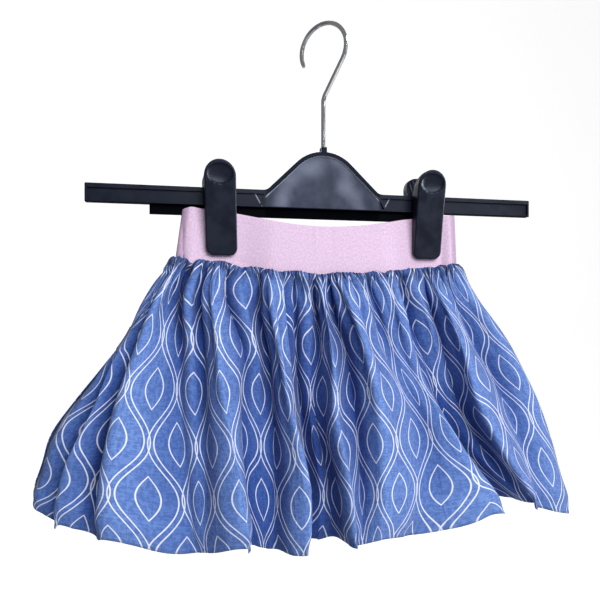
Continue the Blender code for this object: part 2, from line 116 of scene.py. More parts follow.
def gridQuads(rows, columns, flip):
    index = np.arange(rows * columns).reshape(rows, columns)
    quads = np.stack([index[1:, :-1], index[1:, 1:], index[:-1, 1:], index[:-1, :-1]], -1)
    quads = quads.reshape(-1, 4)
    return quads[:, ::-1] if flip else quads


def gridNormals(grid, facing):  # unit normals out of the garment, level at the two sides
    down = np.gradient(grid, axis=0)
    across = np.gradient(grid, axis=1)
    normal = np.cross(across, down) * facing
    normal[:, [0, -1], 1] = 0.0
    return normal / np.maximum(np.linalg.norm(normal, axis=2, keepdims=True), 1e-6)


looking = {"steps": (2, 4, 7, 11, 16, 23, 33, 47), "leastApart": 0.3, "blurs": 3}


def openness(grid, facing):
    # how open each point of a level row is: 1 on a crest, 0 at the bottom of a closed fold, from
    # the steepest line of sight to the cloth on its left and on its right; the cloth's colour takes
    # painted shade from it
    out, x = grid[:, :, 1] * facing, grid[:, :, 0]
    left, right = np.zeros_like(x), np.zeros_like(x)
    for step in looking["steps"]:
        rise = out[:, step:] - out[:, :-step]
        apart = np.abs(x[:, step:] - x[:, :-step]) + looking["leastApart"]
        right[:, :-step] = np.maximum(right[:, :-step], np.arctan2(rise, apart))
        left[:, step:] = np.maximum(left[:, step:], np.arctan2(-rise, apart))
    seen = 1 - (left + right) / math.pi
    seen[:, 1:-1] = (seen[:, :-2] + 2 * seen[:, 1:-1] + seen[:, 2:]) / 4
    for _ in range(looking["blurs"]):
        seen[1:-1] = (seen[:-2] + 2 * seen[1:-1] + seen[2:]) / 4
    return seen


def thicken(piece, thickness, inside=0):
    solid = piece.modifiers.new("Cloth thickness", "SOLIDIFY")
    solid.thickness = thickness * mm
    solid.offset = 0.0
    solid.material_offset = inside
    return solid


# Shader helpers

def fed(node, feeds):  # links the sockets and copies the plain values into a node's inputs
    for key, value in feeds.items():
        if isinstance(value, bpy.types.NodeSocket):
            node.id_data.links.new(value, node.inputs[key])
        else:
            node.inputs[key].default_value = value
    return node


def nodeIn(tree, kind, feeds=None, **settings):
    made = tree.nodes.new("ShaderNode" + kind)
    for name, value in settings.items():
        setattr(made, name, value)
    return fed(made, feeds or {})


def nodeAfter(kind, feeds, **settings):  # a node in the tree of the sockets that feed it
    source = next(value for value in feeds.values() if isinstance(value, bpy.types.NodeSocket))
    return nodeIn(source.id_data, kind, feeds, **settings)


def calc(operation, *values):
    return nodeAfter("Math", dict(enumerate(values)), operation=operation).outputs[0]


def times(*values):
    return calc("MULTIPLY", *values)


def timesPlus(*values):  # the first times the second, plus the third
    return calc("MULTIPLY_ADD", *values)


def plus(*values):
    return calc("ADD", *values)


def minus(*values):
    return calc("SUBTRACT", *values)


def mixed(amount, first, second, blend="MIX"):
    feeds = {0: amount, 6: first, 7: second}
    return nodeAfter("Mix", feeds, data_type="RGBA", blend_type=blend).outputs[2]


def ranged(value, low, high, toLow=0.0, toHigh=1.0, blend="SMOOTHSTEP"):
    feeds = {"Value": value, "From Min": low, "From Max": high, "To Min": toLow, "To Max": toHigh}
    return nodeAfter("MapRange", feeds, interpolation_type=blend).outputs["Result"]


def faded(value, low, high):  # 1 below the two limits, 0 above them
    return ranged(value, low, high, 1.0, 0.0)


def within(value, starts, ends):
    return times(ranged(value, *starts), faded(value, *ends))


def noise(vector, scale, detail=3.0, rough=0.5):
    feeds = {"Vector": vector, "Scale": scale, "Detail": detail, "Roughness": rough}
    return nodeAfter("TexNoise", feeds).outputs["Fac"]


def stretched(vector, scale, turn=0.0):
    feeds = {"Vector": vector, "Rotation": (0.0, 0.0, turn), "Scale": scale}
    return nodeAfter("Mapping", feeds).outputs[0]


def split(vector):  # the x, y and z of a vector
    return nodeAfter("SeparateXYZ", {0: vector}).outputs


def newGroup(name, takes, gives):  # each group takes a vector and some numbers, and gives numbers
    group = bpy.data.node_groups.new(name, "ShaderNodeTree")
    group.interface.new_socket("Vector", in_out="INPUT", socket_type="NodeSocketVector")
    for label, value in takes.items():
        socket = group.interface.new_socket(label, in_out="INPUT", socket_type="NodeSocketFloat")
        socket.default_value = value
    for label in gives:
        group.interface.new_socket(label, in_out="OUTPUT", socket_type="NodeSocketFloat")
    taken, given = group.nodes.new("NodeGroupInput"), group.nodes.new("NodeGroupOutput")
    return group, taken.outputs, given


def useGroup(group, vector, **feeds):
    return nodeAfter("Group", {"Vector": vector, **feeds}, node_tree=group).outputs


weaving = {"slubScale": 1500.0, "slubStretch": 0.05, "slubHeight": 1.6, "crossing": 0.5}


def buildWeave():  # plain weave: warp over weft by turns, with thicker and thinner yarns
    group, taken, given = newGroup(
        "plainWeave", {"Pitch": 0.00045, "Slub": 1.0}, ("Height", "Weft", "Yarn"),
    )
    parts = split(taken["Vector"])
    waves, slubs = [], []
    for axis in (0, 1):
        turn = times(calc("DIVIDE", parts[axis], taken["Pitch"]), math.pi)
        waves.append(calc("SINE", turn))
        stretch = [1.0, 1.0, 1.0]
        stretch[1 - axis] = weaving["slubStretch"]
        slubs.append(noise(stretched(taken["Vector"], stretch), weaving["slubScale"], 2.0))
    over = times(*waves)
    slub = times(plus(*slubs), 0.5)
    centred = times(minus(slub, 0.5), taken["Slub"])
    height = timesPlus(centred, weaving["slubHeight"], calc("ABSOLUTE", over))
    weft = faded(over, -weaving["crossing"], weaving["crossing"])
    fed(given, {"Height": height, "Weft": weft, "Yarn": plus(centred, 0.5)})
    return group


ogee = {"leafPlump": 0.33, "lineInner": 0.6, "lineOuter": 1.4}


def buildOgee():  # two mirrored families of wavy lines that all but meet: an ogee trellis
    group, taken, given = newGroup(
        "ogeeTrellis", {
            "Spacing": 0.015, "Repeat": 0.075, "Swing": 0.007, "Line": 0.0004, "Apart": 0.0015,
            "Leaf": 0.0075,
        }, ("Mask",),
    )
    parts = split(taken["Vector"])
    turn = calc("DIVIDE", parts[1], taken["Repeat"])
    wave = calc("SINE", times(turn, 2 * math.pi))
    swing = times(wave, taken["Swing"])
    lines = []
    for sign in (1.0, -1.0):  # a pointed leaf in the middle of each cell
        shifted = timesPlus(taken["Spacing"], -0.5 * sign, parts[0])
        beside = calc("PINGPONG", shifted, taken["Spacing"])
        wide = times(timesPlus(wave, sign, -ogee["leafPlump"]), taken["Leaf"])
        lines.append(calc("ABSOLUTE", minus(beside, wide)))
    for sign, start in ((1.0, 0.0), (-1.0, 1.0)):
        place = timesPlus(taken["Spacing"], start, timesPlus(swing, sign, parts[0]))
        near = calc("PINGPONG", place, taken["Spacing"])
        lines.append(calc("ABSOLUTE", minus(near, taken["Apart"])))
    near = lines[0]
    for line in lines[1:]:
        near = calc("MINIMUM", near, line)
    inner = times(taken["Line"], ogee["lineInner"])
    outer = times(taken["Line"], ogee["lineOuter"])
    fed(given, {"Mask": faded(near, inner, outer)})
    return group


knitting = {
    "rowShare": 0.8, "slant": 1.3, "stitchHeight": 0.35, "grainScale": 850.0, "grainStretch": 0.7,
    "grainHeight": 0.9,
}


def buildKnit():  # fine jersey: upright wales, each with small v-shaped stitches
    group, taken, given = newGroup("fineKnit", {"Pitch": 0.0009}, ("Height", "Tint"))
    parts = split(taken["Vector"])
    wale = calc("DIVIDE", parts[0], taken["Pitch"])
    centre = calc("PINGPONG", wale, 0.5)
    row = calc("DIVIDE", parts[1], times(taken["Pitch"], knitting["rowShare"]))
    slanted = timesPlus(centre, knitting["slant"], row)
    stitch = calc("SINE", times(slanted, 2 * math.pi))
    ridge = calc("SINE", times(centre, 2 * math.pi))
    height = timesPlus(stitch, knitting["stitchHeight"], ridge)
    spot = stretched(taken["Vector"], (1.0, knitting["grainStretch"], 1.0))
    grain = noise(spot, knitting["grainScale"], 3.0)
    height = timesPlus(grain, knitting["grainHeight"], height)
    fed(given, {"Height": height, "Tint": grain})
    return group


hemming = {
    "step": (-0.0016, -0.0004), "stitchGap": (0.1, 0.16), "dipWide": 0.0016, "dip": -0.7,
    "threadHeight": 0.5,
}


def buildHem():  # the turned-up hem: its upper edge as a small step, and a row of stitches on it
    group, taken, given = newGroup(
        "turnedHem", {"Line": 0.178, "Stitch": 0.0028, "Thread": 0.0003}, ("Height", "Thread"),
    )
    parts = split(taken["Vector"])
    past = minus(parts[1], taken["Line"])
    step = ranged(past, *hemming["step"])
    beside = calc("ABSOLUTE", past)
    halfThread = times(taken["Thread"], 0.5)
    thin = faded(beside, halfThread, taken["Thread"])
    turn = calc("PINGPONG", parts[0], times(taken["Stitch"], 0.5))
    on = ranged(calc("DIVIDE", turn, taken["Stitch"]), *hemming["stitchGap"])
    thread = times(thin, on)
    beside = faded(beside, 0.0, hemming["dipWide"])
    dip = times(beside, minus(1.0, on))
    height = timesPlus(dip, hemming["dip"], step)
    height = timesPlus(thread, hemming["threadHeight"], height)
    fed(given, {"Height": height, "Thread": thread})
    return group


puckering = {
    "driftScale": 70.0, "driftStretch": 0.4, "driftTurns": 7.0, "driftReach": (0.012, -0.004),
    "fade": (0.3, 1.0), "low": (0.1, 0.7),
}


def buildPuckers():  # tiny gathers right below the seam, each a rounded ridge
    group, taken, given = newGroup("seamPuckers", {"Pitch": 0.0038, "Reach": 0.007}, ("Height", "PaintedShade"))
    parts = split(taken["Vector"])
    spot = stretched(taken["Vector"], (1.0, puckering["driftStretch"], 1.0))
    drift = noise(spot, puckering["driftScale"], 2.0)
    turn = timesPlus(drift, puckering["driftTurns"], calc("DIVIDE", parts[0], taken["Pitch"]))
    ridge = calc("ABSOLUTE", calc("SINE", times(turn, math.pi)))
    reach = plus(timesPlus(drift, *puckering["driftReach"]), taken["Reach"])
    near = faded(calc("DIVIDE", parts[1], reach), *puckering["fade"])
    # the low parts between the ridges give painted shade for the cloth's colour
    low = faded(ridge, *puckering["low"])
    fed(given, {"Height": times(ridge, near), "PaintedShade": times(low, near)})
    return group


creasing = {
    "rough": 0.55, "turn": 0.9, "stretch": 0.12, "finer": 1.8, "lineWide": 0.018, "lineHeight": 0.12,
}


def buildCreases():  # soft crumples and a few sharper pressed lines that run at a slant
    group, taken, given = newGroup("washedCreases", {"Scale": 40.0}, ("Height",))
    soft = noise(taken["Vector"], taken["Scale"], 3.0, creasing["rough"])
    turned = stretched(taken["Vector"], (1.0, creasing["stretch"], 1.0), creasing["turn"])
    fine = noise(turned, times(taken["Scale"], creasing["finer"]), 2.0)
    ridge = calc("ABSOLUTE", minus(fine, 0.5))
    line = faded(ridge, 0.0, creasing["lineWide"])
    fed(given, {"Height": timesPlus(line, creasing["lineHeight"], soft)})
    return group


mottling = {"rough": 0.6, "limits": (0.32, 0.68)}


def buildMottle():  # soft cloudy patches between two values
    group, taken, given = newGroup("softMottle", {"Scale": 120.0, "Low": 0.0, "High": 1.0}, ("Value",))
    cloud = noise(taken["Vector"], taken["Scale"], 4.0, mottling["rough"])
    fed(given, {"Value": ranged(cloud, *mottling["limits"], taken["Low"], taken["High"])})
    return group


def buildHill():  # how far inside a hill's outline a point lies: a round top with straight sides
    takes = {"Radius": 0.026, "Centre": 0.0, "Side": 45.0}
    group, taken, given = newGroup("hillInset", takes, ("Inset",))
    parts = split(taken["Vector"])
    across = calc("ABSOLUTE", parts[0])
    up = minus(parts[2], taken["Centre"])
    side = calc("RADIANS", taken["Side"])
    top = nodeAfter("CombineXYZ", {0: across, 2: up}).outputs[0]
    top = nodeAfter("VectorMath", {0: top}, operation="LENGTH").outputs["Value"]
    slope = times(across, calc("SINE", side))
    slope = timesPlus(up, calc("COSINE", side), slope)
    onTop = calc("LESS_THAN", across, times(up, calc("TANGENT", side)))
    reach = timesPlus(onTop, minus(top, slope), slope)
    fed(given, {"Inset": minus(taken["Radius"], reach)})
    return group


weaveGroup, ogeeGroup, knitGroup, hillGroup = buildWeave(), buildOgee(), buildKnit(), buildHill()
mottleGroup, hemGroup = buildMottle(), buildHem()
creaseGroup, puckerGroup = buildCreases(), buildPuckers()


def newMaterial(name, fixed):
    made = bpy.data.materials.new(name)
    made.use_nodes = True
    return made, made.node_tree, fed(made.node_tree.nodes["Principled BSDF"], fixed)


def bumped(*layers):  # layers of height, strength and depth in metres, widest first
    normal = {}
    for height, strength, distance in layers:
        feeds = {"Height": height, "Strength": strength, "Distance": distance, **normal}
        normal = {"Normal": nodeAfter("Bump", feeds).outputs[0]}
    return normal


chambrayLook = {
    "warp": (0.067, 0.17, 0.56, 1.0), "weft": (0.223, 0.368, 0.765, 1.0),
    "deep": (0.03, 0.085, 0.35, 1.0), "line": (0.8, 0.835, 0.965, 1.0),
    "trellis": {"Spacing": 0.0145, "Repeat": 0.072, "Swing": 0.0064, "Line": 0.00032, "Apart": 0.0015},
    "pitch": 0.00046, "lineShade": 0.3, "hemLine": 0.178, "thread": (0.2, 0.33, 0.68, 1.0),
    # painted shade: the openness where it starts and stops, the colour multiplied into closed folds, and
    # the painted shade under the seam: nearest, farthest, most
    "shut": 0.45, "open": 1.02, "foldShade": (0.15, 0.245, 0.44, 1.0), "seamShade": (0.0, 0.024, 0.42),
    # puckerShare: how strong the painted shade between the seam's tiny gathers is
    "slubs": (0.3, 0.62), "slubShare": 0.4, "puckerShare": 0.85, "inkOnYarn": (0.25, 0.5, 0.8, 1.0),
    "cloud": {"Scale": 30.0, "Low": 0.0, "High": 0.16},
    # stretch and scale of the heather's two noises, the limits of their sum, and what they give
    "heather": (((1.0, 0.35, 1.0), 640.0), ((0.4, 1.0, 1.0), 900.0)),
    "heatherLimits": (0.86, 1.14, 0.0, 0.46),
    # strength, and depth in metres, of each bump
    "creaseScale": 38.0, "creaseBump": (0.8, 0.002), "puckerBump": (1.0, 0.0016),
    "hemBump": (0.5, 0.0004), "weaveBump": (0.5, 0.00016),
}


band = {
    "thickness": 2.0, "middle": seamGap / 2 + 1.15, "underSkirt": 2.5, "topMiddle": -14.0,
    "seamMiddle": -48.0, "columns": 260, "rise": 34, "layer": 0.85, "flat": (0.215, 0.086),
    "dense": 900, "foldSteps": 7,
    "rows": ((0, -100, 102.2, 5, 4.6), (1, -105, 103.8, 7.4, 6.8)),
    # dents and swells of the front: across, half width, how far out, at its top and at the seam
    "dents": (
        (-100.3, 1.2, -0.7, -1.9), (-94.5, 3.5, 0.9, 1.5), (-7.2, 0.8, 0.3, 0.2), (-3, 5, 0.2, -0.3),
        (92, 2.4, -0.6, -1.5), (98, 2.6, 0.6, 1), (56, 5, -0.2, -0.5), (22, 9, 0.2, 0.2),
        (4.5, 2.2, -0.35, 0),
    ),
    "topFront": (
        (-101, -10.4), (-96, -8.7), (-88, -9.3), (-60, -12.6), (-43, -15.7), (-26, -18.2), (0, -19.8),
        (26, -18.4), (43, -16), (60, -12.8), (90, -9.2), (105, -7.6),
    ),
    "topBack": (
        (-101, -10.4), (-92, -13.7), (-60, -14.6), (-43, -16.6), (-26, -18.8), (0, -20.2), (26, -19),
        (43, -17), (60, -14.8), (88, -13.7), (97, -10), (105, -7.6),
    ),
}


def clothUv(tree):
    return nodeIn(tree, "UVMap", uv_map="cloth").outputs[0]


def chambray(name, printed):
    look = chambrayLook
    fixed = {"Roughness": 0.86, "Sheen Weight": 0.12, "Sheen Roughness": 0.5, "Specular IOR Level": 0.15}
    made, tree, shader = newMaterial(name, fixed)
    uv = clothUv(tree)
    weave = useGroup(weaveGroup, uv, Pitch=look["pitch"])
    yarn = mixed(weave["Weft"], look["warp"], look["weft"])
    slubs = times(ranged(weave["Yarn"], *look["slubs"]), look["slubShare"])
    yarn = mixed(slubs, yarn, look["weft"])
    cloud = useGroup(mottleGroup, uv, **look["cloud"])[0]
    colour = mixed(cloud, yarn, look["deep"])
    flecks = [noise(stretched(uv, stretch), scale) for stretch, scale in look["heather"]]
    heather = ranged(plus(*flecks), *look["heatherLimits"])
    colour = mixed(heather, colour, look["deep"])
    hem = useGroup(hemGroup, uv, Line=look["hemLine"])
    colour = mixed(hem["Thread"], colour, look["thread"])
    # painted shade in the folds, darker where the openness is low
    seen = nodeIn(tree, "Attribute", attribute_name="openness").outputs["Fac"]
    shade = ranged(seen, look["shut"], look["open"], 1.0, 0.0, blend="LINEAR")
    # painted shade just under the seam
    nearest, farthest, most = look["seamShade"]
    under = ranged(split(uv)[1], nearest, farthest, most, 0.0)
    # painted shade between the seam's tiny gathers
    pucker = useGroup(puckerGroup, uv)
    for dark in (shade, under, times(pucker["PaintedShade"], look["puckerShare"])):
        colour = mixed(dark, colour, look["foldShade"], "MULTIPLY")
    if printed:  # the opaque white lines lie on top and are shaded less than the cloth
        trellis = useGroup(ogeeGroup, uv, **look["trellis"])[0]
        ink = times(trellis, ranged(weave["Yarn"], *look["inkOnYarn"]))
        # the lines take a smaller share of the painted fold shade
        dimmed = times(shade, look["lineShade"])
        colour = mixed(ink, colour, mixed(dimmed, look["line"], look["foldShade"], "MULTIPLY"))
    creases = useGroup(creaseGroup, uv, Scale=look["creaseScale"])[0]
    normal = bumped(
        (creases, *look["creaseBump"]), (pucker["Height"], *look["puckerBump"]),
        (hem["Height"], *look["hemBump"]), (weave["Height"], *look["weaveBump"]),
    )
    fed(shader, {"Base Color": colour, **normal})
    return made


knitLook = {
    "dark": (0.605, 0.448, 0.632, 1.0), "pale": (0.73, 0.56, 0.765, 1.0), "pitch": 0.0009,
    # the turned-in strip beside each side seam: nearest, farthest, and the colour of its painted shade
    "strip": (0.0035, 0.0062), "stripShade": (0.68, 0.63, 0.69, 1.0),
    "tint": (0.3, 0.7), "creaseScale": 30.0, "creaseBump": (0.25, 0.0012), "stitchBump": (0.45, 0.0002),
}


def knit(name):
    look = knitLook
    fixed = {"Roughness": 0.9, "Sheen Weight": 0.35, "Sheen Roughness": 0.45, "Specular IOR Level": 0.2}
    made, tree, shader = newMaterial(name, fixed)
    uv = clothUv(tree)
    stitches = useGroup(knitGroup, uv, Pitch=look["pitch"])
    colour = mixed(ranged(stitches["Tint"], *look["tint"]), look["dark"], look["pale"])
    # painted shade on the turned-in strip beside each side seam
    beside = calc("PINGPONG", split(uv)[0], band["flat"][0] / 2)
    strip = faded(beside, *look["strip"])
    colour = mixed(strip, colour, look["stripShade"], "MULTIPLY")
    creases = useGroup(creaseGroup, uv, Scale=look["creaseScale"])[0]
    normal = bumped((creases, *look["creaseBump"]), (stitches["Height"], *look["stitchBump"]))
    fed(shader, {"Base Color": colour, **normal})
    return made


plasticLook = {
    "dark": (0.005, 0.0065, 0.014, 1.0), "pale": (0.008, 0.0105, 0.022, 1.0), "rough": (0.3, 0.42),
    "tint": (0.75, 0.84, 1.0, 1.0), "cloudScale": 90.0, "grainScale": 2600.0, "grainBump": (0.12, 0.0001),
    # painted sheen on the hump's face: its colour, its paler colour, and the cloud's share
    "hump": (0.018, 0.024, 0.046, 1.0), "humpSheen": (0.2, 0.22, 0.31, 1.0), "cloudShare": 0.14,
    # painted highlight along the face's edges inside the rim: its colour, where it starts and ends, and
    # its share; painted light on the hump's walls
    "edge": (0.42, 0.45, 0.58, 1.0), "edgeStarts": (-0.0004, -0.0001), "edgeEnds": (0.00025, 0.0007),
    "edgeShare": 0.75, "wall": (0.55, 0.57, 0.66, 1.0),
    # rail: painted shade on the rail under the bar
    "rail": (0.0008, 0.001, 0.002, 1.0), "railTop": (-0.1342, -0.1338), "rimShine": 0.3, "railShine": 0.12,
    # depths where the hump's sunk face and the channel's wall start and end, and where its ends lie
    "faceStarts": (-0.0026, -0.0018), "faceEnds": (-0.0012, -0.0008), "face": -0.0015,
    "wallStarts": (-0.0029, -0.0027), "wallEnds": (-0.0017, -0.0016), "humpEnds": (0.041, 0.044),
    # the ribs' painted highlights: place at the bar's middle, slope, half width of the core and in all,
    # strength
    "ribLit": (0.0483, 0.57, 0.00018, 0.0006, 0.6),
    # the hump's outline inside its rim: radius, centre's height, slope of the sides
    "hill": {"Radius": 0.026, "Centre": -0.1214, "Side": 44.0},
    # across, height, reach and strength of the painted sheen patches
    "patches": (
        (-6, 25, 12, 0.4), (-16, 22, 12, 0.4), (-26, 14, 11, 0.42), (-29, 4, 9, 0.4), (-32, -3, 9, 0.4),
        (16, 11, 11, 0.5), (23, 4, 10, 0.35), (10, 30, 9, 0.35), (27, -4, 7, 0.3), (18, 22, 9, 0.28),
    ),
}


def hangerLook(shader, spot, cloud, colour, specular):
    # the face inside the hump's rim is paler, in soft patches of painted sheen, and its edges get a
    # painted highlight
    look = plasticLook
    across, depth, height = split(spot)
    low = faded(height, *look["railTop"])
    above = minus(1.0, low)
    # painted shade on the rail below the bar
    colour = mixed(low, colour, look["rail"])
    sunk = times(within(depth, look["faceStarts"], look["faceEnds"]), above)
    away = calc("ABSOLUTE", across)
    onHump = faded(away, *look["humpEnds"])
    face = times(sunk, onHump)
    # painted sheen: the face's paler patches
    paintedSheen = times(cloud, look["cloudShare"])
    for x, z, wide, amount in look["patches"]:
        place = (x * mm, look["face"], (z - barBelowOrigin) * mm)
        apart = nodeAfter("VectorMath", {0: spot, 1: place}, operation="DISTANCE")
        near = ranged(apart.outputs["Value"], 0.0, wide * mm, amount, 0.0)
        paintedSheen = plus(paintedSheen, near)
    colour = mixed(face, colour, mixed(paintedSheen, look["hump"], look["humpSheen"]))
    # painted light on the hump's walls, which lie in shade
    wall = within(depth, look["wallStarts"], look["wallEnds"])
    wall = times(wall, times(onHump, above))
    colour = mixed(wall, colour, look["wall"])
    # painted highlight along the edges inside the hump's rim
    inset = useGroup(hillGroup, spot, **look["hill"])[0]
    edge = times(within(inset, look["edgeStarts"], look["edgeEnds"]), face)
    colour = mixed(times(edge, look["edgeShare"]), colour, look["edge"])
    # painted highlight beside each rib
    place, slope, core, half, most = look["ribLit"]
    level = plus(height, barBelowOrigin * mm)
    beside = timesPlus(level, -slope, minus(away, place))
    lit = ranged(calc("ABSOLUTE", beside), core, half, most, 0.0)
    colour = mixed(times(lit, sunk), colour, look["edge"])
    rim = times(onHump, minus(1.0, sunk))
    shine = ranged(rim, 0.0, 1.0, 1.0, look["rimShine"])
    shine = times(shine, ranged(low, 0.0, 1.0, 1.0, look["railShine"]))
    fed(shader, {"Specular IOR Level": times(shine, specular)})
    return colour


def plastic(name, specular, hanger):
    look = plasticLook
    made, tree, shader = newMaterial(name, {"Specular IOR Level": specular, "Specular Tint": look["tint"]})
    spot = nodeIn(tree, "TexCoord").outputs["Object"]
    cloud = useGroup(mottleGroup, spot, Scale=look["cloudScale"])[0]
    colour = mixed(cloud, look["dark"], look["pale"])
    if hanger:
        colour = hangerLook(shader, spot, cloud, colour, specular)
    rough = ranged(cloud, 0.0, 1.0, *look["rough"])
    normal = bumped((noise(spot, look["grainScale"], 2.0), *look["grainBump"]))
    fed(shader, {"Base Color": colour, "Roughness": rough, **normal})
    return made


metalLook = {
    "stretch": (1.0, 1.0, 0.06), "scale": 1800.0, "dull": 0.82, "limits": (0.3, 0.7), "rough": (0.7, 1.4),
}


def metal(name, colour, rough):  # wire with fine drawn lines along it
    look = metalLook
    made, tree, shader = newMaterial(name, {"Metallic": 1.0})
    spot = nodeIn(tree, "TexCoord").outputs["Object"]
    drawn = noise(stretched(spot, look["stretch"]), look["scale"])
    duller = tuple(part * look["dull"] for part in colour)
    colour = mixed(drawn, (*duller, 1.0), (*colour, 1.0))
    smooth, coarse = (rough * share for share in look["rough"])
    fed(shader, {"Base Color": colour, "Roughness": ranged(drawn, *look["limits"], smooth, coarse)})
    return made


chambrayPrinted = chambray("Printed chambray", True)
chambrayInside = chambray("Chambray wrong side", False)
pinkKnit = knit("Pink doubled knit")
hangerPlastic = plastic("Hanger plastic", 0.1, True)
clipPlastic = plastic("Clip plastic", 0.2, False)
chromeWire = metal("Chrome wire", (0.86, 0.87, 0.9), 0.12)
springSteel = metal("Spring steel", (0.6, 0.6, 0.62), 0.3)
print("materials made")


# Camera, lights and floor

def buildCamera():
    data = bpy.data.cameras.new("Camera")
    data.lens, data.sensor_width, data.shift_y = camera["lens"], 36.0, camera["shiftUp"]
    data.clip_start, data.clip_end = 0.01, 30.0
    eye = bpy.data.objects.new("Camera", data)
    eye.location = camera["place"]
    eye.rotation_euler = (math.radians(90), 0.0, math.radians(camera["turn"]))
    bpy.context.collection.objects.link(eye)
    bpy.context.scene.camera = eye


def buildLights():
    for name in ("key", "side", "back", "gloss"):
        wanted = light[name]
        data = bpy.data.lights.new(name, "AREA")
        data.shape, data.energy = "RECTANGLE", wanted["power"]
        data.size, data.size_y = wanted["size"]
        data.color = wanted["colour"]
        lamp = bpy.data.objects.new(name, data)
        lamp.location = wanted["at"]
        lamp.visible_diffuse = name != "gloss"
        sight = -lamp.location
        sight.z += light["aimHeight"]
        lamp.rotation_euler = sight.to_track_quat("-Z", "Y").to_euler()
        bpy.context.collection.objects.link(lamp)
    world = bpy.data.worlds.new("Studio")
    bpy.context.scene.world = world
    world.use_nodes = True
    tree = world.node_tree
    path = nodeIn(tree, "LightPath").outputs
    mirrored = ranged(path["Is Glossy Ray"], 0.0, 1.0, light["ambient"], light["mirrored"])
    strength = ranged(path["Is Camera Ray"], 0.0, 1.0, mirrored, 1.0, blend="LINEAR")
    fed(tree.nodes["Background"], {"Color": (1.0, 1.0, 1.0, 1.0), "Strength": strength})


def buildFloor():  # a level sheet that curves up into a wall behind
    run = np.linspace(0, 1, floor["rows"])
    bend, start, end = floor["bend"], *floor["bendRun"]
    bendAt = floor["wallAt"] - bend
    turn = np.clip((run - start) / (end - start), 0, 1) * math.pi / 2
    level = floor["front"] + (bendAt - floor["front"]) * run / start
    y = np.where(run < start, level, bendAt + bend * np.sin(turn))
    wall = np.clip(run - end, 0, 1) / (1 - end) * floor["wall"]
    z = floor["below"] + bend * (1 - np.cos(turn)) + wall
    x = np.array([-floor["halfWide"], floor["halfWide"]])
    grid = np.stack(np.broadcast_arrays(x[None, :], y[:, None], z[:, None]), -1)
    points = grid.reshape(-1, 3) / mm + (0, 0, barBelowOrigin)
    sheet = newMesh("Floor", points, gridQuads(floor["rows"], 2, True))
    made, tree, shader = newMaterial("Pale floor", {"Roughness": 0.9})
    spot = nodeIn(tree, "TexCoord").outputs["Object"]
    cloud = useGroup(mottleGroup, spot, Scale=floor["cloudScale"])[0]
    pale = floor["colour"]
    paler = tuple(part * floor["paler"] for part in pale)
    seen = nodeIn(tree, "LightPath").outputs["Is Camera Ray"]
    fed(shader, {
        "Base Color": mixed(cloud, (*pale, 1.0), (*paler, 1.0)),
        "Emission Color": (1.0, 1.0, 1.0, 1.0), "Emission Strength": times(seen, floor["glow"]),
    })
    sheet.data.materials.append(made)


buildCamera()
buildLights()
buildFloor()
bpy.context.scene.view_settings.view_transform = "Standard"
print("camera, lights and floor made")


# Skirt panels

